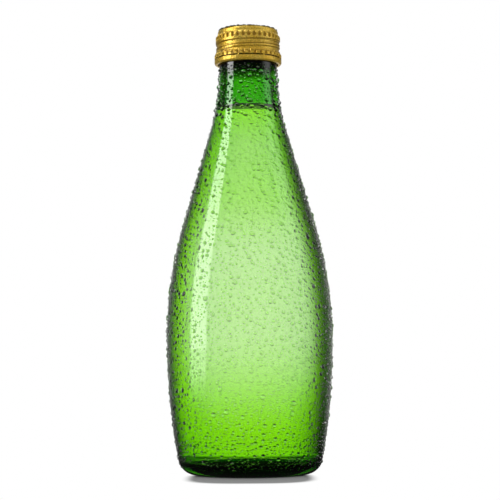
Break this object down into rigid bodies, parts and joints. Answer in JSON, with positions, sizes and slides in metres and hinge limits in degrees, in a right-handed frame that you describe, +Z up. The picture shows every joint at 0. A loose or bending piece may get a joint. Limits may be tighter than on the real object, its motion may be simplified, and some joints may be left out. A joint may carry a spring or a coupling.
{
  "type": "soda bottle",
  "caption": "Small green glass soda bottle with a rounded belly and slim neck, full of drink and closed by a gold roll-on screw cap.",
  "frame": {"origin": "on the ground, on the bottle's axis", "axes": "+Z up along the bottle's axis, -Y towards the front"},
  "size_m": [0.0698, 0.0698, 0.1891],
  "materials": {
    "green_glass": "clear green glass, misted and beaded with cold water",
    "clear_drink": "clear colourless drink that looks green through the glass",
    "gold_aluminium": "satin gold lacquer",
    "liner_plastic": "soft moulded plastic"
  },
  "bodies": {
    "root": {"bottle": "green_glass", "soda": "clear_drink", "screw_cap": "gold_aluminium", "cap_liner": "liner_plastic"}
  },
  "joints": []
}
